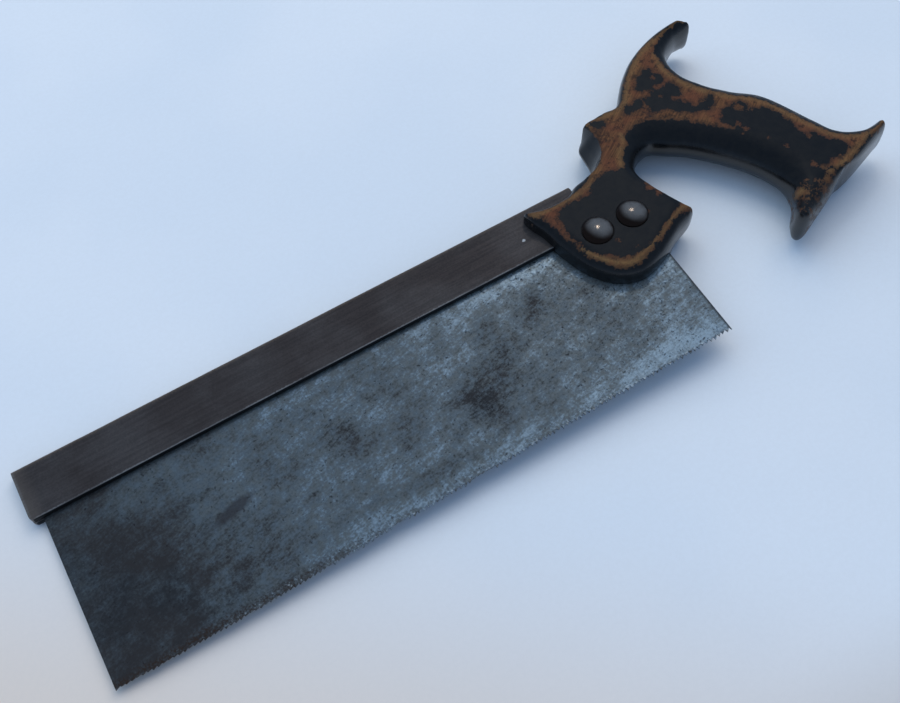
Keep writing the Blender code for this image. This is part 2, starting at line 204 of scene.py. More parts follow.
BULGE_ISLAND = (
    (328, 129), (330, 127.5), (333, 128), (337, 127), (341, 129), (342.5, 132), (339, 133), (335, 131.5),
    (331, 132.5),
)
BULGE_SPOT = ((310, 132.5), (311, 128.5), (314, 126.8), (317, 128.8), (316.5, 131.5), (313, 133.2))
GRIP_ISLAND = (
    (366, 100.5), (369, 103), (371, 105.5), (375, 104.8), (378, 105.2), (381, 105), (382.7, 103),
    (382.5, 99.5), (380.5, 97.8), (384, 97.3), (388, 96), (390.5, 93.5), (392.5, 89), (393, 84),
    (394.8, 80.5), (394, 76), (393.5, 73), (397, 72), (400, 70.5), (401.5, 66.5), (403.5, 63),
    (406.5, 60.5), (408.5, 56.5), (407.5, 53.5), (404, 52), (399, 52.3), (397.5, 54), (394, 52),
    (389.5, 50), (386.5, 48.5), (386, 45.5), (384, 42.5), (380, 38.5), (374, 36), (368, 40), (368, 55),
    (370, 66), (372, 78), (369, 90),
)
ISLANDS = (CHEEK_ISLAND, HORN_ISLAND, SHOULDER_ISLAND, BULGE_ISLAND, BULGE_SPOT, GRIP_ISLAND)

# Inside this line the wood round the cheek's island is bare; past the neck it runs clear of the handle.
CHEEK_RUBBED = (
    (240, 104), (252, 98), (257.2, 98.5), (260, 97), (261.8, 93), (262.7, 88), (263.2, 84), (263.9, 80),
    (265.4, 74), (267.3, 68), (269.3, 64.4), (271.8, 60.8), (274.6, 57), (278, 54.4), (281.2, 53.1),
    (285, 52.9), (289, 53.9), (293, 55.3), (299, 57.6), (306, 60.9), (313, 64.1), (318, 66), (330, 66),
    (345, 75), (450, 20), (450, 180), (309, 150), (307.5, 131), (308, 127), (308.1, 123), (307, 119),
    (305, 115), (302.5, 112), (299, 110.3), (295.5, 108), (292, 105.4), (288, 103), (283, 101.6),
    (278, 110),
)
# How far in from the outline the black reaches, by the width of the rounding there
RIM_WIDTHS = (1, 4, 5, 8, 9, 14)
RIM_REACHES = (0.5, 2.4, 4.4, 6.2, 9.3, 11)
# Round chips in the finish: x, y and radius
CHIPS = (
    (377.8, 101.8, 2.2), (371.8, 94, 1.6), (373.3, 89.5, 1), (379, 79, 1), (383, 70.5, 0.8),
    (387.3, 55.5, 2.1), (390, 51.5, 1.4), (355, 123.5, 2), (353.5, 140, 1.2), (349.5, 128.5, 0.9),
    (396.3, 70, 1.6), (283.2, 68.6, 0.7), (284.1, 67.6, 0.7), (289.3, 60.6, 0.8), (304.8, 73.5, 1.1),
    (269.9, 80.5, 0.6), (373.6, 47, 2.3), (374.4, 43.5, 1.2), (314.2, 85, 2), (315.2, 80.5, 1.9),
    (313.4, 88, 1.2), (388, 44.8, 2.4), (391.8, 47.8, 2.2), (384.6, 42, 1.6), (396.5, 49.6, 2.4),
    (401.5, 50.2, 2.2), (407, 51.4, 2.2), (412, 54, 2.8), (417, 55.4, 2.4), (422, 56.4, 1.8),
)

# Dark clouds on the plate: centre, half sides, turn and strength
PLATE_STAINS = (
    ((188, 34), (20, 14), 20, 0.46), ((207, 48), (14, 18), 0, 0.32), ((214, 28), (10, 20), 0, 0.16),
    ((165, 15), (30, 5), 2, 0.34), ((200, 9), (14, 2), 2, 0.25), ((232, 28), (13, 4), 8, 0.14),
    ((25, 30), (32, 44), 0, 0.1), ((95, 82), (8, 4), 0, 0.18), ((183, 84), (4, 2.4), 0, 0.55),
    ((236, 66), (18, 9), 20, 0.3), ((262, 60), (12, 7), 0, 0.3), ((128, 52), (16, 12), 10, 0.2),
    ((145, 62), (9, 6), 0, 0.18),
)
LONG_STAIN = ((72, 45.5), (12.5, 3.2), 14)
BACK_NICK = (249, 95.5)
WOOD_GRAIN = 33  # angle from the toe-to-heel direction

# Colours, as linear red, green and blue; two of them are mixed where there are two
PLATE_DARK = ((0.066, 0.057, 0.052), (0.052, 0.05, 0.049))
PLATE_MIDDLE = ((0.186, 0.196, 0.184), (0.166, 0.19, 0.196))
PLATE_LIGHT = (0.43, 0.52, 0.56)
PLATE_SMUDGE = (0.062, 0.052, 0.05)
PLATE_PIT = (0.036, 0.031, 0.03)
PLATE_RUST = (0.07, 0.04, 0.026)
PLATE_FLECK = (0.62, 0.64, 0.62)
PLATE_EDGE = (0.03, 0.028, 0.028)
BACK_BROWN = ((0.085, 0.066, 0.058), (0.12, 0.1, 0.09))
BACK_GRAIN = (0.02, 0.018, 0.018)
BACK_FOLD = (0.19, 0.13, 0.09)
BACK_WORN = (0.3, 0.28, 0.26)
BACK_TOE = (0.19, 0.15, 0.12)
# painted shade for the back's lower face
BACK_UNDERSIDE_SHADE = (0.02, 0.02, 0.02)
BACK_BARE = (0.6, 0.6, 0.58)
WOOD_BROWN = ((0.046, 0.019, 0.008), (0.15, 0.064, 0.025))
WOOD_RED = (0.11, 0.036, 0.017)
WOOD_GOLDEN = (0.24, 0.135, 0.05)
WOOD_BLOTCH = (0.016, 0.009, 0.006)
WOOD_PORE = (0.012, 0.008, 0.006)
WOOD_STAIN = (0.02, 0.013, 0.01)
FINISH_BLACK = ((0.003, 0.0034, 0.0042), (0.0065, 0.0062, 0.006))
HEAD_STEEL = ((0.044, 0.028, 0.02), (0.285, 0.235, 0.195))
# painted shade for the bolt heads' rims
HEAD_PAINTED_SHADE = (0.022, 0.012, 0.008)
HEAD_SPECK = (0.04, 0.032, 0.028)
FLOOR_PALE = ((0.69, 0.75, 0.82), (0.73, 0.78, 0.84))
# painted light on the floor: a warmer near side and a darker falloff
FLOOR_PAINTED_WARM_LIGHT = (0.72, 0.635, 0.565)
FLOOR_PAINTED_FALLOFF = (0.52, 0.48, 0.45)
FLOOR_FIBRE = (0.5, 0.5, 0.5)
SKY = (0.41, 0.63, 0.99, 1.0)
SKY_STRENGTH = 0.52

# Round lights, aimed at the saw: name, place and width in metres, power in watts, colour, seen in gloss
LIGHTS = (
    ("window", (1.65, 2.16, 3.45), 5.1, 126, (1, 0.9, 0.745), False),
    ("near_wall", (-2.1, -2.58, 1.86), 4.8, 12.6, (1, 0.93, 0.84), False),
    ("far_wall", (-1.44, 2.16, 1.74), 4.2, 49.5, (0.66, 0.84, 1), False),
    ("lamp", (0.52, 0.62, 1.04), 0.15, 0.58, (1, 0.95, 0.88), True),
)
FLOOR_HALF_SIDE = 4.0  # metres
NEARWARDS = (-0.64, -0.77)  # level direction from the saw towards the camera's lower edge
CAMERA_PLACE = (89.8, -150.5, 442.7)
CAMERA_TARGET = (189.8, 63.7, 0)
CAMERA_ROLL = -5.7
CAMERA_LENS = 44.0


# ---------- shared helpers


def new_object(name, data):
    item = bpy.data.objects.new(name, data)
    bpy.context.scene.collection.objects.link(item)
    return item


def mesh_object(bm, name):
    mesh = bpy.data.meshes.new(name)
    bm.to_mesh(mesh)
    bm.free()
    return new_object(name, mesh)


def object_from(bm, name):
    """Make an object of a bmesh that is drawn in millimetres, where the frame's saw is."""
    bmesh.ops.transform(bm, matrix=Matrix.Translation(ORIGIN) @ Matrix.Scale(MM, 4), verts=bm.verts)
    bmesh.ops.recalc_face_normals(bm, faces=bm.faces)
    return mesh_object(bm, name)


def points_in(made):
    """The points among what a bmesh operator made."""
    return [v for v in made["geom"] if isinstance(v, bmesh.types.BMVert)]


def thicken(bm, thickness):
    raised = bmesh.ops.extrude_face_region(bm, geom=list(bm.faces))
    bmesh.ops.translate(bm, vec=(0, 0, thickness), verts=points_in(raised))


def drop_loose(bm):
    bmesh.ops.delete(bm, geom=[v for v in bm.verts if not v.link_faces], context="VERTS")


def shade(item, angle):
    """Smooth shading, with edges kept sharp where faces meet at more than this angle."""
    item.data.shade_smooth()
    item.data.set_sharp_from_angle(angle=math.radians(angle))
    return item


def cut(item, cutters):
    """Take the cutters away from the piece, and remove them."""
    for cutter in cutters:
        modifier = item.modifiers.new("cut", "BOOLEAN")
        modifier.operation = "DIFFERENCE"
        modifier.solver = "EXACT"
        modifier.object = cutter
    bpy.context.view_layer.update()
    seen = item.evaluated_get(bpy.context.evaluated_depsgraph_get())
    mesh = bpy.data.meshes.new_from_object(seen)
    item.modifiers.clear()
    uncut = item.data
    item.data = mesh
    bpy.data.meshes.remove(uncut)
    for cutter in cutters:
        bpy.data.objects.remove(cutter, do_unlink=True)


def box(name, low, high):
    bm = bmesh.new()
    size = [b - a for a, b in zip(low, high)]
    middle = [(a + b) / 2 for a, b in zip(low, high)]
    bmesh.ops.create_cube(bm, size=1, matrix=Matrix.Translation(middle) @ Matrix.Diagonal((*size, 1)))
    return object_from(bm, name)


def cylinder(name, centre, radius, low, high, sides=64):
    bm = bmesh.new()
    place = Matrix.Translation((*centre, (low + high) / 2))
    bmesh.ops.create_cone(
        bm, cap_ends=True, segments=sides, radius1=radius, radius2=radius, depth=high - low, matrix=place
    )
    return object_from(bm, name)


def flat_shape(name, outline, thickness):
    bm = bmesh.new()
    bm.faces.new([bm.verts.new((x, y, -thickness / 2)) for x, y in outline])
    thicken(bm, thickness)
    return object_from(bm, name)


def turned(name, profile, centre, sides=96):
    """Turn a closed profile of (radius, z) about a vertical axis; points at radius 0 meet on the axis."""
    bm = bmesh.new()
    rows = []
    for radius, z in profile:
        if radius == 0:
            rows.append([bm.verts.new((*centre, z))] * sides)
            continue
        turns = [2 * math.pi * i / sides for i in range(sides)]
        ring = [(centre[0] + radius * math.cos(t), centre[1] + radius * math.sin(t), z) for t in turns]
        rows.append([bm.verts.new(corner) for corner in ring])
    closed = profile[0][0] > 0
    pairs = list(zip(rows, rows[1:])) + ([(rows[-1], rows[0])] if closed else [])
    for outer, inner in pairs:
        for i in range(sides):
            k = (i + 1) % sides
            corners = [outer[i], outer[k], inner[k], inner[i]]
            bm.faces.new(list(dict.fromkeys(corners)))
    return object_from(bm, name)


def read_vertices(item, name):
    values = np.empty(len(item.data.vertices) * 3)
    item.data.vertices.foreach_get(name, values)
    return values.reshape(-1, 3)


def points_of(item):
    """The mesh's points, in millimetres in the drawing frame."""
    return (read_vertices(item, "co") - np.array(ORIGIN)) / MM


def move_points(item, points):
    item.data.vertices.foreach_set("co", (points * MM + np.array(ORIGIN)).ravel())
    item.data.update()


def noises(points, size, seed):
    """Smooth noise from about -1 to 1 at each point, with features of this size in millimetres."""
    shift = Vector((seed * 17.3, seed * 5.1, seed * 9.7))
    return np.array([noise.noise(Vector(p) / size + shift) for p in points])


def set_attribute(item, name, values):
    attribute = item.data.attributes.new(name, "FLOAT", "POINT")
    attribute.data.foreach_set("value", np.clip(values, 0, 1).astype(np.float32))


# ---------- materials


class Look:
    """One material, and short ways to add its nodes. Places are in millimetres in the drawing frame."""

    def __init__(self, name):
        self.material = bpy.data.materials.new(name)
        self.material.use_nodes = True
        self.tree = self.material.node_tree
        self.shader = self.tree.nodes["Principled BSDF"]
        place = self.add("TexCoord", {}, output="Object")
        place = self.add("VectorMath", {0: place, 1: tuple(ORIGIN)}, operation="SUBTRACT")
        self.place = self.add("VectorMath", {0: place, "Scale": 1 / MM}, operation="SCALE")

    def feed(self, node, inputs):
        """Give a node's inputs their values, or link them to other nodes' outputs."""
        for name, value in inputs.items():
            if isinstance(value, bpy.types.NodeSocket):
                self.tree.links.new(value, node.inputs[name])
            else:
                node.inputs[name].default_value = value

    def add(self, kind, inputs, output=0, **settings):
        node = self.tree.nodes.new("ShaderNode" + kind)
        for name, value in settings.items():
            setattr(node, name, value)
        self.feed(node, inputs)
        return node.outputs[output]

    def maths(self, operation, first, second=0.0):
        return self.add("Math", {0: first, 1: second}, operation=operation)

    def plus(self, first, second):
        return self.maths("ADD", first, second)

    def minus(self, first, second):
        return self.maths("SUBTRACT", first, second)

    def times(self, first, second):
        return self.maths("MULTIPLY", first, second)

    def higher(self, first, second):
        return self.maths("MAXIMUM", first, second)

    def swing(self, field, amount):
        """A noise from 0 to 1 made to swing round 0, over this much from end to end."""
        return self.times(self.minus(field, 0.5), amount)

    def noise(self, size, detail=3.0, roughness=0.55, place=None, output=0):
        """Noise with features of this size in millimetres."""
        inputs = {"Vector": place or self.place, "Scale": 1 / size, "Detail": detail}
        inputs["Roughness"] = roughness
        return self.add("TexNoise", inputs, output=output)

    def step(self, value, low, high, start=0.0, end=1.0):
        """Goes smoothly from start to end as the value goes from low to high."""
        inputs = {0: value, 1: low, 2: high, 3: start, 4: end}
        return self.add("MapRange", inputs, interpolation_type="SMOOTHSTEP")

    def mix(self, part, first, second):
        first, second = [(*c, 1.0) if isinstance(c, tuple) else c for c in (first, second)]
        return self.add("Mix", {0: part, 6: first, 7: second}, output=2, data_type="RGBA")

    def mix_numbers(self, part, first, second):
        return self.add("Mix", {0: part, 2: first, 3: second}, data_type="FLOAT")

    def axis(self, name, place=None):
        return self.add("SeparateXYZ", {0: place or self.place}, output=name)

    def normal(self, name):
        """One part of the way that the surface faces."""
        return self.axis(name, self.add("NewGeometry", {}, output="Normal"))

    def turned_place(self, centre=(0, 0, 0), size=(1, 1, 1), angle=0.0, place=None):
        """Places seen from this centre, turned by this angle about z and divided by this size."""
        inputs = {"Vector": place or self.place, "Location": centre, "Scale": size}
        inputs["Rotation"] = (0, 0, math.radians(angle))
        return self.add("Mapping", inputs, vector_type="TEXTURE")

    def ragged_place(self, amount, size, detail=2.0):
        """Places pushed about by noise, which gives what is drawn on them a ragged edge."""
        field = self.noise(size, detail, output=1)
        push = self.add("VectorMath", {0: field, 1: (0.5,) * 3}, operation="SUBTRACT")
        push = self.add("VectorMath", {0: push, "Scale": 2 * amount}, operation="SCALE")
        return self.add("VectorMath", {0: self.place, 1: push}, operation="ADD")

    def blob(self, centre, size, angle=0.0, place=None, soft=0.5):
        """1 inside an ellipse with these half sides, fading to 0 at its edge."""
        inside = self.turned_place((*centre, 0), (*size, 60), angle, place)
        reach = self.add("VectorMath", {0: inside}, output="Value", operation="LENGTH")
        return self.step(reach, 1.0 - soft, 1.0 + soft * 0.3, 1.0, 0.0)

    def bump(self, height, depth):
        """Bump whose height of 1 stands this many millimetres proud."""
        return self.add("Bump", {"Height": height, "Distance": depth * MM, "Strength": 1.0})

    def finish(self, colour, roughness, normal=None, metallic=0.0, specular=0.5):
        inputs = {"Base Color": colour, "Roughness": roughness, "Metallic": metallic}
        inputs["Specular IOR Level"] = specular
        if normal:
            inputs["Normal"] = normal
        self.feed(self.shader, inputs)
        return self.material


def plate_look():
    """Old steel: a dark toe and a lighter heel, partly painted reflection, with clouds, stains, pits,
    scratches and rust by the teeth.
    """
    look = Look("patinated_steel")
    x, y = look.axis("X"), look.axis("Y")
    ragged = look.ragged_place(5, 9, 4)
    cloudy = look.noise(34, 2, 0.5)
    patchy = look.noise(12, 2, 0.5, look.turned_place(size=(1.5, 1, 1), angle=25))
    mottled = look.noise(4, 3, 0.6)
    fine = look.noise(1.1, 3, 0.6)
    streaked = look.noise(1, 3, 0.6, look.turned_place(size=(22, 1.1, 1.1), angle=2))
    crossed = look.noise(1, 2, 0.6, look.turned_place(size=(11, 0.8, 0.8), angle=24))
    # dark toe, lighter heel: partly the steel's own tone, partly painted reflection of light that grows
    # towards the heel
    level = look.step(look.plus(x, look.times(y, 0.5)), 30, 145, 0.1, 0.55)
    level = look.plus(level, look.step(x, 190, 305, 0, 0.13))
    tooth_y = look.minus(y, look.times(x, HEEL_RISE / PLATE_LENGTH))
    bright_top = look.times(look.step(y, 72, 84), look.step(x, 60, 170, 0, 0.2))
    bright_bottom = look.times(look.step(tooth_y, 15, 4), look.step(x, 40, 110, 0, 0.28))
    level = look.plus(look.plus(level, bright_top), bright_bottom)
    for centre, size, angle, strength in PLATE_STAINS:
        level = look.minus(level, look.times(look.blob(centre, size, angle, ragged, 1), strength))
    liveliness = look.step(x, 10, 120, 0.45, 1)
    waves = ((cloudy, 0.85), (patchy, 0.8), (mottled, 0.85), (fine, 0.95), (streaked, 0.45), (crossed, 0.45))
    for field, amount in waves:
        level = look.plus(level, look.times(look.swing(field, amount), liveliness))
    dark = look.mix(look.step(cloudy, 0.4, 0.6), *PLATE_DARK)
    middle = look.mix(look.step(mottled, 0.35, 0.65), *PLATE_MIDDLE)
    colour = look.mix(look.step(level, -0.08, 0.54), dark, middle)
    colour = look.mix(look.step(level, 0.5, 1.25), colour, PLATE_LIGHT)
    smudge = look.blob(*LONG_STAIN, look.ragged_place(2.2, 5, 3), 0.5)
    colour = look.mix(look.times(smudge, 0.75), colour, PLATE_SMUDGE)
    pits = look.step(look.noise(1.6, 2, 0.5), look.step(cloudy, 0.42, 0.6, 0.68, 0.6), 0.74)
    specks = look.step(look.noise(1, 1, 0.5), 0.62, 0.74)
    pits = look.higher(pits, look.times(specks, look.step(x, 190, 280, 0.35, 1)))
    colour = look.mix(look.times(pits, 0.75), colour, PLATE_PIT)
    toothed = look.step(look.plus(tooth_y, look.times(mottled, -7)), 2.5, -1.5)
    gullets = look.step(look.plus(tooth_y, look.times(fine, -3)), 1, -0.4)
    rust = look.times(toothed, look.step(x, 200, 20, 0.15, 0.9))
    rust = look.higher(rust, look.times(gullets, look.step(x, 90, 160, 0, 0.65)))
    rust = look.times(rust, look.step(fine, 0.35, 0.6, 1, 0.25))
    colour = look.mix(rust, colour, PLATE_RUST)
    flecks = look.step(look.noise(1.1, 2, 0.6), 0.6, 0.7)
    flecks = look.times(look.step(tooth_y, 4.5, 1), flecks)
    flecks = look.times(flecks, look.step(x, 30, 90, 0.1, 0.75))
    colour = look.mix(flecks, colour, PLATE_FLECK)
    edge = look.step(x, PLATE_LENGTH - 1.6, PLATE_LENGTH - 0.2, 0, 0.75)
    colour = look.mix(edge, colour, PLATE_EDGE)
    roughness = look.step(level, 0, 1, 0.55, 0.38)
    relief = look.plus(look.times(fine, 0.5), look.times(streaked, 0.25))
    relief = look.plus(relief, look.times(mottled, 0.4))
    relief = look.minus(relief, pits)
    return look.finish(colour, roughness, look.bump(relief, 0.06), 0.85)


def back_look():
    """Folded steel strip: brown-grey, worn bright along its fold, its lower edge and its toe end, with
    painted shade on its lower face.
    """
    look = Look("dark_steel")
    x, y = look.axis("X"), look.axis("Y")
    cloudy = look.noise(30, 4, 0.6)
    fine = look.noise(0.9, 4, 0.7)
    streaked = look.noise(1, 3, 0.6, look.turned_place(size=(30, 1.2, 1.2)))
    colour = look.mix(look.step(cloudy, 0.35, 0.65), *BACK_BROWN)
    grain = look.plus(look.times(fine, 0.5), look.times(streaked, 0.5))
    colour = look.mix(look.step(grain, 0.35, 0.68), look.mix(0.35, colour, BACK_GRAIN), colour)
    rough_y = look.plus(y, look.swing(fine, 2.2))
    fold = look.step(rough_y, BACK_HIGH.y - 3.2, BACK_HIGH.y - 1.4)
    colour = look.mix(look.times(fold, 0.55), colour, BACK_FOLD)
    lower = look.step(rough_y, BACK_LOW.y + 1, BACK_LOW.y + 0.5)
    toe = look.step(x, BACK_LOW.x + 1.6, BACK_LOW.x + 0.3)
    worn = look.times(look.higher(lower, toe), look.step(streaked, 0.3, 0.6, 0.3, 0.9))
    colour = look.mix(worn, colour, BACK_WORN)
    rubbed = look.step(x, BACK_LOW.x + 9, BACK_LOW.x)
    rubbed = look.times(rubbed, look.step(cloudy, 0.3, 0.6, 0.5, 1))
    colour = look.mix(look.times(rubbed, 0.7), colour, BACK_TOE)
    # painted shade: the back's lower face, which faces the teeth, is coloured near black
    underside_shade = look.step(y, BACK_LOW.y + 0.35, BACK_LOW.y + 0.15)
    colour = look.mix(underside_shade, colour, BACK_UNDERSIDE_SHADE)
    nick = look.blob(BACK_NICK, (0.9, 0.8), 0, look.ragged_place(0.5, 1))
    colour = look.mix(nick, colour, BACK_BARE)
    roughness = look.step(grain, 0.3, 0.7, 0.6, 0.46)
    return look.finish(colour, roughness, look.bump(grain, 0.04), 0.8)


def wood_look():
    """Brown wood, bare at its edges, under what the attribute "black" says is left of a black finish."""
    look = Look("worn_black_finish_on_wood")
    black = look.add("Attribute", {}, output="Fac", attribute_name="black")
    worn = look.add("Attribute", {}, output="Fac", attribute_name="worn")
    coarse = look.noise(3.6, 4, 0.68)
    fine = look.noise(0.8, 3, 0.65)
    grain = look.noise(1, 4, 0.6, look.turned_place(size=(16, 0.75, 0.75), angle=WOOD_GRAIN))
    pores = look.noise(1, 2, 0.5, look.turned_place(size=(3.2, 0.28, 0.28), angle=WOOD_GRAIN))
    ragged = look.swing(coarse, 0.95)
    ragged = look.plus(ragged, look.swing(fine, 0.35))
    ragged = look.plus(ragged, look.swing(grain, 0.25))
    film = look.plus(black, ragged)
    covered = look.step(film, 0.46, 0.54)
    stained = look.step(film, 0.05, 0.52)
    wood = look.mix(look.step(grain, 0.3, 0.68), *WOOD_BROWN)
    red = look.step(look.noise(14, 2), 0.4, 0.62, 0, 0.7)
    wood = look.mix(red, wood, WOOD_RED)
    # golden where worn is high: rubbed wood, and on the lower horn's ridge also a painted highlight
    golden = look.times(worn, look.step(coarse, 0.35, 0.6, 0.3, 0.95))
    wood = look.mix(golden, wood, WOOD_GOLDEN)
    blotched = look.step(look.noise(3.2, 4, 0.7), 0.5, 0.64, 0, 0.75)
    blotched = look.times(blotched, look.step(worn, 0.2, 0.8, 1, 0.25))
    wood = look.mix(blotched, wood, WOOD_BLOTCH)
    wood = look.mix(look.step(pores, 0.6, 0.7, 0, 0.6), wood, WOOD_PORE)
    wood = look.mix(look.times(stained, 0.55), wood, WOOD_STAIN)
    finish = look.mix(look.step(coarse, 0.3, 0.7), *FINISH_BLACK)
    colour = look.mix(covered, wood, finish)
    upright = look.step(look.maths("ABSOLUTE", look.normal("Z")), 0.85, 0.2)
    gloss = look.step(upright, 0, 1, 0.42, 0.22)
    roughness = look.mix_numbers(covered, 0.62, gloss)
    roughness = look.plus(roughness, look.swing(fine, 0.16))
    bare_grain = look.times(grain, look.step(covered, 0, 1, 0.9, 0.15))
    relief = look.plus(covered, bare_grain)
    relief = look.plus(relief, look.times(fine, 0.25))
    shine = look.step(upright, 0, 1, 0.25, 0.65)
    return look.finish(colour, roughness, look.bump(relief, 0.08), 0, shine)


def bolt_look():
    """Brown-grey steel heads, polished by use in the middle, with painted shade on the rim that is darkest
    on the side away from the light.
    """
    look = Look("polished_steel")
    cloudy = look.noise(3.5, 4, 0.65)
    fine = look.noise(0.5, 3, 0.7)
    worn = look.add("Attribute", {}, output="Fac", attribute_name="worn")
    level = look.plus(worn, look.swing(cloudy, 0.9))
    colour = look.mix(look.step(level, 0.1, 0.95), *HEAD_STEEL)
    # painted shade and highlight: the head is darkened where it slopes away from the light, so one side
    # looks lit and the rim looks shaded
    light_lean = look.plus(look.times(look.normal("X"), 0.28), look.times(look.normal("Y"), 0.12))
    crown = look.step(look.plus(look.normal("Z"), light_lean), 0.78, 1)
    colour = look.mix(crown, HEAD_PAINTED_SHADE, colour)
    colour = look.mix(look.step(fine, 0.6, 0.75, 0, 0.6), colour, HEAD_SPECK)
    roughness = look.step(level, 0, 1, 0.36, 0.17)
    return look.finish(colour, roughness, look.bump(look.plus(fine, cloudy), 0.035), 0.9)


# ---------- plate


def tooth_line(x):
    belly = TOE_BULGE * math.sin(math.pi * min(x / TOE_BULGE_LENGTH, 1.0))
    return HEEL_RISE * x / PLATE_LENGTH - belly


def plate_corners(grow=0.0):
    """The plate's corners, from the heel's clipped corner round to the toe, this much larger all round."""
    heel = PLATE_LENGTH + grow
    top = PLATE_TOP + grow
    return [(heel, top - HEEL_CLIP), (heel - HEEL_CLIP, top), (-grow, top)]


def make_plate():
    """A plate with worn teeth, set to alternate sides."""
    random = np.random.default_rng(11)
    pitch = PLATE_LENGTH / TOOTH_COUNT
    depth = pitch / (math.tan(TOOTH_RAKE) + math.tan(TOOTH_BACK))
    teeth, leans = [], []
    for i in range(TOOTH_COUNT):
        tip = i * pitch
        toe_wear = TOE_WEAR * math.exp(-((tip / TOE_WEAR_LENGTH) ** 4))
        worn = TOOTH_WEAR + toe_wear + random.uniform(-0.14, 0.22)
        broken = any(abs(tip - place) < BROKEN_REACH for place in BROKEN_TEETH)
        drop = depth * (BROKEN_PART if broken else max(worn, 0.0))
        gullet = tip + depth * math.tan(TOOTH_BACK) + random.uniform(-0.12, 0.12)
        floor = tooth_line(gullet) + depth + random.uniform(-TOOTH_UNEVEN, TOOTH_UNEVEN)
        shift = random.uniform(-TOOTH_UNEVEN, TOOTH_UNEVEN) * (i > 0)
        teeth += [(tip + shift, tooth_line(tip) + drop), (gullet, floor)]
        leans += [(-1) ** i * TOOTH_SET * random.uniform(0.7, 1.2), 0.0]
    outline = teeth + [(PLATE_LENGTH, HEEL_RISE + 0.2)] + plate_corners()
    leans += [0.0] * 4
    points = [Vector(p) for p in outline]
    rim = list(range(len(points)))
    row = [Vector((x, tooth_line(x) + depth + 0.8)) for x in np.arange(1.0, PLATE_LENGTH, 2.0)]
    creases = [(len(points) + i, len(points) + i + 1) for i in range(len(row) - 1)]
    points += row
    for y in np.arange(12.0, PLATE_TOP - 1, PLATE_MESH_STEP):
        points += [Vector((x, y)) for x in np.arange(4.0, PLATE_LENGTH - 2, PLATE_MESH_STEP)]
    found, _, faces, origins, *_ = delaunay_2d_cdt(points, creases, [rim], 1, 0.001)
    bm = bmesh.new()
    lower = [bm.verts.new((p.x, p.y, -PLATE_THICKNESS / 2)) for p in found]
    for face in faces:
        bm.faces.new([lower[i] for i in face])
    drop_loose(bm)
    thicken(bm, PLATE_THICKNESS)
    lean_at = {}
    for i, kept in enumerate(origins):
        for source in kept:
            if source < len(leans) and leans[source]:
                lean_at[(round(found[i].x, 3), round(found[i].y, 3))] = leans[source]
    for vert in bm.verts:
        vert.co.z += lean_at.get((round(vert.co.x, 3), round(vert.co.y, 3)), 0.0)
    plate = object_from(bm, "plate_with_teeth")
    shade(plate, 30.0)
    cut(plate, [cylinder("hole", place, HOLE_RADIUS, -2, 2) for place in BOLT_PLACES.values()])
    return plate


# ---------- back


def back_profile():
    """Half of the fold's section, as (y, z): down inside from the slot's roof, then up outside."""
    half = (BACK_HIGH.z - BACK_LOW.z) / 2
    bottom, top = BACK_LOW.y, BACK_HIGH.y
    slot = PLATE_THICKNESS / 2 + GAP
    bead = BACK_BEAD
    side = [(top - BACK_STRIP, 0.0), (top - BACK_STRIP - 0.4, slot)]
    side += [(bottom + 4.0, slot), (bottom + 0.3, slot), (bottom, slot + 0.3), (bottom, half - bead)]
    for angle in (30, 60, 90):
        turn = math.radians(angle)
        side.append((bottom + bead * (1 - math.cos(turn)), half - bead * (1 - math.sin(turn))))
    side += [(y, half) for y in np.linspace(bottom + bead + 0.1, top - BACK_FOLD_RADIUS - 0.1, 7)]
    for angle in range(0, 91, 10):
        turn = math.radians(angle)
        y = top - BACK_FOLD_RADIUS * (1 - math.sin(turn))
        side.append((y, half - BACK_FOLD_RADIUS * (1 - math.cos(turn))))
    side.append((top, 0.0))
    return side


def make_back():
    """A strip folded over the plate's top edge."""
    half = back_profile()
    mirrored = [(y, -z) for y, z in half[-2:0:-1]]
    profile = half + mirrored
    bottom = BACK_LOW.y
    stations = [BACK_LOW.x + BACK_CORNER_RADIUS * (1 - math.cos(math.radians(a))) for a in range(0, 91, 10)]
    stations += list(np.arange(BACK_LOW.x + 4.0, BACK_HIGH.x - 1, BACK_STEP)) + [BACK_HIGH.x]
    bm = bmesh.new()
    loops = []
    for x in stations:
        into = min(x - BACK_LOW.x, BACK_CORNER_RADIUS)
        lift = BACK_CORNER_RADIUS - math.sqrt(BACK_CORNER_RADIUS**2 - (BACK_CORNER_RADIUS - into) ** 2)
        loop = []
        for y, z in profile:
            near = max(0.0, 1 - (y - bottom) / 5.0)
            loop.append(bm.verts.new((x, y + lift * min(near * 1.25, 1.0), z)))
        loops.append(loop)
    for first, second in zip(loops, loops[1:]):
        for i in range(len(profile)):
            k = (i + 1) % len(profile)
            bm.faces.new((first[i], first[k], second[k], second[i]))
    ends = [bm.faces.new(loops[0]), bm.faces.new(loops[-1])]
    edges = list({e for face in ends for e in face.edges})
    bmesh.ops.bevel(
        bm, geom=edges, offset=BACK_BEVEL, segments=2, profile=0.5, affect="EDGES", clamp_overlap=True
    )
    back = object_from(bm, "folded_steel_back")
    points = points_of(back)
    wave = noises(points * (1, 0.4, 0.4), 60.0, 3) * 0.12 + noises(points, 9.0, 4) * 0.04
    points[:, 2] += wave
    points[:, 1] += np.where(points[:, 1] > BACK_HIGH.y - 4, noises(points, 14.0, 5) * 0.07 - 0.07, 0.0)
    move_points(back, points)
    return shade(back, 40.0)


# ---------- handle


def blend_rows(first, second, start, end, at):
    part = (at - start) / (end - start)
    return first * (1 - part) + second * part


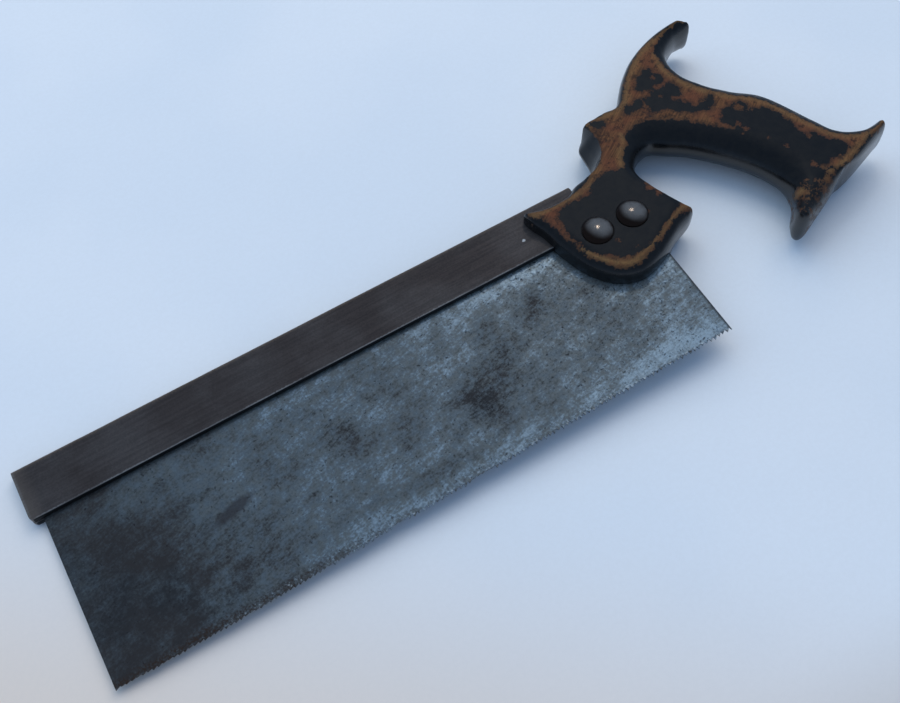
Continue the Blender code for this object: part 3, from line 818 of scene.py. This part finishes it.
def smooth_outline(anchors, step):
    """Points and edge roundings, this far apart, on a centripetal Catmull-Rom curve through anchors."""
    rows = np.array([(x, y, *edge) for x, y, edge in anchors])
    count = len(rows)
    found = []
    for i in range(count):
        a, b, c, d = (rows[(i + k) % count] for k in (-1, 0, 1, 2))
        spans = [np.linalg.norm(q[:2] - p[:2]) for p, q in ((a, b), (b, c), (c, d))]
        knots = np.cumsum([0.0] + [span**0.5 for span in spans])
        steps = max(1, round(float(np.linalg.norm(c[:2] - b[:2])) / step))
        for t in np.linspace(knots[1], knots[2], steps, endpoint=False):
            low = blend_rows(a, b, knots[0], knots[1], t)
            middle = blend_rows(b, c, knots[1], knots[2], t)
            high = blend_rows(c, d, knots[2], knots[3], t)
            first = blend_rows(low, middle, knots[0], knots[2], t)
            second = blend_rows(middle, high, knots[1], knots[3], t)
            row = blend_rows(first, second, knots[1], knots[2], t)
            row[2:] = middle[2:]
            found.append(row)
    return np.array(found)


def distance(points, spot):
    return np.linalg.norm(points[:, :2] - spot, axis=1)


def distances(points, others):
    return np.linalg.norm(points[:, None, :2] - others[None, :, :2], axis=2)


def face_height(points, outline):
    """Height of the handle's upper surface above its middle, at each point inside the outline."""
    width, depth = outline[:, 2], outline[:, 3]
    from_edge = distances(points, outline)
    # Shorten them to what they are from the line itself, which passes between the outline's points.
    true_edge = np.maximum(np.abs(inside_distance(points, outline)) - EDGE_SLACK, 0.0)
    slip = from_edge.min(axis=1) ** 2 - true_edge**2
    from_edge = np.sqrt(np.maximum(from_edge**2 - slip[:, None], 0.0))
    part = np.minimum(from_edge / width, 1.0)
    rounded = (HALF_HANDLE - depth * (1 - np.sqrt(1 - (1 - part) ** 2))).min(axis=1)
    from_arc = np.maximum(CHAMFER_RADIUS - distance(points, CHAMFER_CENTRE), 0.0)
    fall = from_arc / (from_arc + from_edge.min(axis=1) + 0.001)
    return np.minimum(rounded, HALF_HANDLE - (HALF_HANDLE - CHAMFER_LAND) * fall)


def in_lots(function, points, *others):
    """The function's values at many points, worked out a thousand points at a time."""
    lots = np.array_split(points, len(points) // 1000 + 1)
    return np.concatenate([function(lot, *others) for lot in lots])


def inside_distance(points, corners):
    """Distance from each point to a closed outline, positive inside it."""
    corners = np.array(corners, float)[:, :2]
    starts, ends = corners, np.roll(corners, -1, axis=0)
    sides = ends - starts
    offset = points[:, None, :] - starts[None]
    along = np.clip((offset * sides).sum(2) / (sides**2).sum(1), 0, 1)
    nearest = np.linalg.norm(offset - along[..., None] * sides, axis=2).min(axis=1)
    y = points[:, 1:2]
    spans = (starts[:, 1] > y) != (ends[:, 1] > y)
    rise = np.where(sides[:, 1] == 0, 1e-9, sides[:, 1])
    crosses = spans & (points[:, :1] < starts[:, 0] + (y - starts[:, 1]) * sides[:, 0] / rise)
    return np.where(crosses.sum(axis=1) % 2 == 1, nearest, -nearest)


def edge_rings(outline, fine):
    """Rings of points inside the outline that follow its rounded edge, cut where two edges would meet."""
    along = np.roll(outline[:, :2], -1, axis=0) - np.roll(outline[:, :2], 1, axis=0)
    along /= np.linalg.norm(along, axis=1)[:, None]
    inward = np.stack([-along[:, 1], along[:, 0]], axis=1)
    for angle in EDGE_ANGLES:
        inset = outline[:, 2] * (1 - math.cos(math.radians(angle)))
        ring = outline[:, :2] + inward * inset[:, None]
        yield ring, distances(ring, fine).min(axis=1) > 0.97 * inset


def chamfer_rim(outline):
    """The arc where the stopped chamfer meets the face, as far as it lies on the handle."""
    turns = np.radians(np.arange(-90.0, 50.0, 3.0))
    rim = np.array(CHAMFER_CENTRE) + CHAMFER_RADIUS * np.stack([np.cos(turns), np.sin(turns)], axis=1)
    return rim, inside_distance(rim, outline) > 0.3


def nearest_distance(points, others):
    return distances(points, others).min(axis=1)


def face_points(outline, placed):
    """Points spread evenly over the handle's face, clear of its outline and of the other points."""
    low, high = outline[:, :2].min(axis=0), outline[:, :2].max(axis=0)
    x, y = np.meshgrid(np.arange(low[0], high[0], WOOD_STEP), np.arange(low[1], high[1], WOOD_STEP))
    x[::2] += WOOD_STEP / 2
    spread = np.stack([x.ravel(), y.ravel()], axis=1)
    spread = spread[in_lots(inside_distance, spread, outline) > 0.6]
    return spread[in_lots(nearest_distance, spread, placed) > 0.8 * WOOD_STEP]


def handle_blank():
    """The sawn and rounded board, both halves, before it is cut."""
    outline = smooth_outline(HANDLE_OUTLINE, OUTLINE_STEP)
    fine = smooth_outline(HANDLE_OUTLINE, FINE_STEP)
    plan = [tuple(point) for point in outline[:, :2]]
    creases = []
    for ring, kept in list(edge_rings(outline, fine)) + [chamfer_rim(outline)]:
        numbers = {}
        for i in np.flatnonzero(kept):
            numbers[i] = len(plan)
            plan.append(tuple(ring[i]))
        creases += [(number, numbers[i + 1]) for i, number in numbers.items() if i + 1 in numbers]
    plan += [tuple(point) for point in face_points(outline, np.array(plan))]
    board = [list(range(len(outline)))]
    points, _, faces, *_ = delaunay_2d_cdt([Vector(p) for p in plan], creases, board, 1, 0.02)
    places = np.array([tuple(p) for p in points])
    heights = in_lots(face_height, places, fine)
    bm = bmesh.new()
    top = [bm.verts.new((*place, z)) for place, z in zip(places, heights)]
    for face in faces:
        bm.faces.new([top[i] for i in face])
    from_arc = distance(places, CHAMFER_CENTRE) - CHAMFER_RADIUS
    from_edge = in_lots(inside_distance, places, outline)
    free = (from_arc > SOFT_FROM_ARC) & (from_edge > SOFT_FROM_EDGE)
    soft = [v for v, moves in zip(top, free) if v.link_faces and moves]
    for _ in range(SOFTENINGS):
        bmesh.ops.smooth_vert(
            bm, verts=soft, factor=0.5, use_axis_x=False, use_axis_y=False, use_axis_z=True
        )
    drop_loose(bm)
    wall = bmesh.ops.extrude_edge_only(bm, edges=[e for e in bm.edges if e.is_boundary])
    for vert in points_in(wall):
        vert.co.z = 0
    lower = bmesh.ops.duplicate(bm, geom=list(bm.verts) + list(bm.edges) + list(bm.faces))
    for vert in points_in(lower):
        vert.co.z *= -1
    bmesh.ops.remove_doubles(bm, verts=[v for v in bm.verts if abs(v.co.z) < 0.001], dist=0.001)
    return object_from(bm, "carved_handle"), fine


def worn_shape(handle):
    """Hand-made unevenness and the broken tip of the top horn."""
    points = points_of(handle)
    normals = read_vertices(handle, "normal")
    push = noises(points, 26.0, 1) * 0.16 + noises(points, 7.0, 2) * 0.05 - 0.08
    tip = distance(points, HORN_BREAK)
    push -= np.clip(1 - tip / SPOT_RADIUS, 0, 1) * (0.5 + 0.8 * np.abs(noises(points, 1.7, 6)))
    move_points(handle, points + normals * push[:, None])


def handle_cutters():
    below, above = -HALF_HANDLE - 1, HALF_HANDLE + 1
    head_floor = HALF_HANDLE - HEAD_SINK - GAP
    kerf = [(-GAP, -GAP), (PLATE_LENGTH + GAP, -GAP)] + plate_corners(GAP)
    cutters = [flat_shape("kerf", kerf, PLATE_THICKNESS + 2 * GAP)]
    half = (BACK_HIGH.z - BACK_LOW.z) / 2 + GAP
    mortise_low = (BACK_LOW.x, BACK_LOW.y - GAP, -half)
    cutters.append(box("mortise", mortise_low, (BACK_HIGH.x + GAP, BACK_HIGH.y + GAP, half)))
    for place in BOLT_PLACES.values():
        cutters.append(cylinder("bolt_hole", place, HOLE_RADIUS, below, above))
        cutters.append(cylinder("head_seat", place, HEAD_RADIUS + GAP, head_floor, above))
        cutters.append(cylinder("nut_seat", place, NUT_RADIUS + GAP, below, NUT_TOP + GAP))
    return cutters


def mark_finish(handle, outline):
    """Set black, over 0.5 where the finish is left, and worn, highest where hands rubbed most and at a
    painted highlight on the front lower horn's ridge.
    """
    points = points_of(handle)
    plan = points[:, :2]
    from_edge = in_lots(distances, plan, outline)
    edge = from_edge.min(axis=1)
    width = outline[from_edge.argmin(axis=1), 2]
    drop = HALF_HANDLE - np.abs(points[:, 2])
    islands = np.max([in_lots(inside_distance, plan, island) for island in ISLANDS], axis=0)
    chips = np.max([radius - distance(plan, (x, y)) for x, y, radius in CHIPS], axis=0)
    rubbed = in_lots(inside_distance, plan, CHEEK_RUBBED)
    on_cheek = (plan[:, 0] < CHEEK_END[0]) & (plan[:, 1] < CHEEK_END[1])
    reach = np.interp(width, RIM_WIDTHS, RIM_REACHES)
    rim = np.where(on_cheek, NOT_HERE, np.maximum(reach - edge, drop - 3.0))
    reverse = edge - 8.0 + 5.0 * noises(points, 15.0, 9)
    upper = points[:, 2] > 0
    amount = np.maximum(np.where(upper, islands, reverse), rim)
    amount = np.maximum(amount, np.where(upper, -rubbed, drop * 2.0 - 0.4))
    amount = np.where(upper, np.minimum(amount, -chips), amount)
    thin = 0.3 + np.maximum(distance(plan, LOWER_HORN) - LOWER_HORN_RADIUS, 0)
    amount = np.minimum(amount, thin)
    chamfer = CHAMFER_RADIUS - distance(plan, CHAMFER_CENTRE)
    amount = np.maximum(amount, np.minimum(chamfer * 3.0, 4.0))
    set_attribute(handle, "black", 0.5 + amount / FINISH_RANGE)
    worn = np.exp(-((edge - reach - 1.0) / 2.5) ** 2) * np.where(width > 9.5, 0.1, 0.7)
    worn = np.where(on_cheek, np.exp(-((rubbed - 1.6) / 1.8) ** 2) * (plan[:, 1] < CHEEK_GOLDEN), worn)
    # the ridge spot is rubbed wood with a painted golden highlight
    for spot in (HORN_BREAK, RIDGE_HIGHLIGHT_SPOT):
        worn = np.maximum(worn, np.clip(1.2 - distance(plan, spot) / SPOT_RADIUS, 0, 0.8))
    set_attribute(handle, "worn", worn)


def make_handle():
    handle, outline = handle_blank()
    worn_shape(handle)
    cut(handle, handle_cutters())
    mark_finish(handle, outline)
    return shade(handle, 50.0)


# ---------- bolts and nuts


def make_bolt(name, place):
    """A low dome with a worn crown, on a round shank."""
    base = HALF_HANDLE - HEAD_SINK
    rim = base + HEAD_RIM
    rise = HEAD_HIGH.z - rim
    sphere = (HEAD_RADIUS**2 + rise**2) / (2 * rise)
    profile = []
    steps = 16
    for i in range(steps + 1):
        radius = (HEAD_RADIUS - HEAD_EDGE) * i / steps
        profile.append((radius, rim + rise - sphere + math.sqrt(sphere**2 - radius**2)))
    profile += [(HEAD_RADIUS, rim - 0.1), (HEAD_RADIUS, base), (SHANK_RADIUS, base)]
    end = -HALF_HANDLE + NUT_SINK
    profile += [(SHANK_RADIUS, end + 0.4), (SHANK_RADIUS - 0.4, end), (0, end)]
    bolt = turned(name + "_bolt_domed", profile, place)
    points = points_of(bolt)
    above = points[:, 2] > base + 0.2
    points[above, 2] -= 0.08 + 0.07 * noises(points[above], 4.0, 12)
    move_points(bolt, points)
    reach = distance(points, place) / HEAD_RADIUS
    set_attribute(bolt, "worn", np.where(points[:, 2] > base + 0.2, 1.05 - reach**2 * 0.75, 0.2))
    return shade(bolt, 40.0)


def make_nut(name, place):
    """A round nut with a slot for a forked driver, let in flush with the wood."""
    low = -HALF_HANDLE + NUT_SINK
    profile = [(HOLE_RADIUS, NUT_TOP), (NUT_RADIUS, NUT_TOP), (NUT_RADIUS, low + NUT_EDGE)]
    profile += [(NUT_RADIUS - 0.15, low + 0.12), (NUT_RADIUS - 0.5, low), (HOLE_RADIUS + 0.2, low)]
    profile.append((HOLE_RADIUS, low + 0.2))
    nut = turned(name + "_nut_slotted", profile, place)
    x, y = place
    half = NUT_SLOT_WIDTH / 2
    reach = NUT_RADIUS + 1
    cut(nut, [box("slot", (x - reach, y - half, low - 1), (x + reach, y + half, low + NUT_SLOT_DEPTH))])
    set_attribute(nut, "worn", np.where(points_of(nut)[:, 2] < low + 0.3, 0.6, 0.1))
    return shade(nut, 35.0)


# ---------- the pieces


def dress(piece, material, node):
    """Give a piece its material, hang it on the body, and hide the CAD node that it stands for."""
    piece.data.materials.clear()
    piece.data.materials.append(material)
    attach(piece, BODY)
    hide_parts(node)


dress(make_plate(), plate_look(), "saw_plate")
dress(make_back(), back_look(), "steel_back")
dress(make_handle(), wood_look(), "handle")
steel = bolt_look()
for place_name, bolt_place in BOLT_PLACES.items():
    dress(make_bolt(place_name, bolt_place), steel, place_name + "_bolt")
    dress(make_nut(place_name, bolt_place), steel, place_name + "_nut")


# ---------- floor, light and camera


def make_floor():
    """A pale floor, sloped a little so that the handle's cheek and the back's toe end both rest on it."""
    bm = bmesh.new()
    bmesh.ops.create_grid(bm, x_segments=1, y_segments=1, size=FLOOR_HALF_SIDE)
    floor = mesh_object(bm, "floor")
    cheek = HANDLE_LOW.x + CHEEK[0]
    slope = math.atan((BACK_LOW.z - HANDLE_LOW.z) / (cheek - BACK_LOW.x))
    floor.location = ORIGIN + Vector((cheek, 0, HANDLE_LOW.z)) * MM
    floor.rotation_euler = (0, slope, 0)
    look = Look("pale_floor")
    cloud = look.noise(160.0, 3.0, 0.5)
    colour = look.mix(look.step(cloud, 0.35, 0.65), *FLOOR_PALE)
    x, y = look.axis("X"), look.axis("Y")
    # painted light: the floor is warmer on the side towards the camera's lower edge and darker towards -y,
    # where less light falls
    near = look.plus(look.times(x, NEARWARDS[0]), look.times(y, NEARWARDS[1]))
    colour = look.mix(look.step(near, -150.0, 0.0), colour, FLOOR_PAINTED_WARM_LIGHT)
    colour = look.mix(look.step(y, -35.0, -120.0, 0.0, 0.8), colour, FLOOR_PAINTED_FALLOFF)
    fibres = look.noise(2.0, 3.0, 0.7)
    colour = look.mix(look.step(fibres, 0.3, 0.7, 0.06, 0.0), colour, FLOOR_FIBRE)
    floor.data.materials.append(look.finish(colour, 0.85, None, 0.0, 0.2))


def make_light(name, place, size, power, colour, in_gloss):
    """A round light. One that is not seen in gloss lights the scene, but shines back from nothing."""
    light = bpy.data.lights.new(name, "AREA")
    light.shape = "DISK"
    light.size = size
    light.energy = power
    light.color = colour
    lamp = new_object(name, light)
    lamp.location = place
    lamp.visible_glossy = in_gloss
    lamp.rotation_euler = (-Vector(place)).to_track_quat("-Z", "Y").to_euler()


def make_world():
    world = bpy.data.worlds.new("soft_sky")
    world.use_nodes = True
    background = world.node_tree.nodes["Background"]
    background.inputs["Color"].default_value = SKY
    background.inputs["Strength"].default_value = SKY_STRENGTH
    bpy.context.scene.world = world


def make_camera():
    camera = bpy.data.cameras.new("camera")
    camera.lens = CAMERA_LENS
    camera.clip_start = 0.01
    item = new_object("camera", camera)
    place = ORIGIN + Vector(CAMERA_PLACE) * MM
    target = ORIGIN + Vector(CAMERA_TARGET) * MM
    turn = (target - place).to_track_quat("-Z", "Y").to_matrix()
    turn = turn @ Matrix.Rotation(math.radians(CAMERA_ROLL), 3, "Z")
    item.matrix_world = Matrix.Translation(place) @ turn.to_4x4()
    bpy.context.scene.camera = item


make_floor()
for light in LIGHTS:
    make_light(*light)
make_world()
make_camera()
bpy.context.scene.view_settings.view_transform = "Standard"
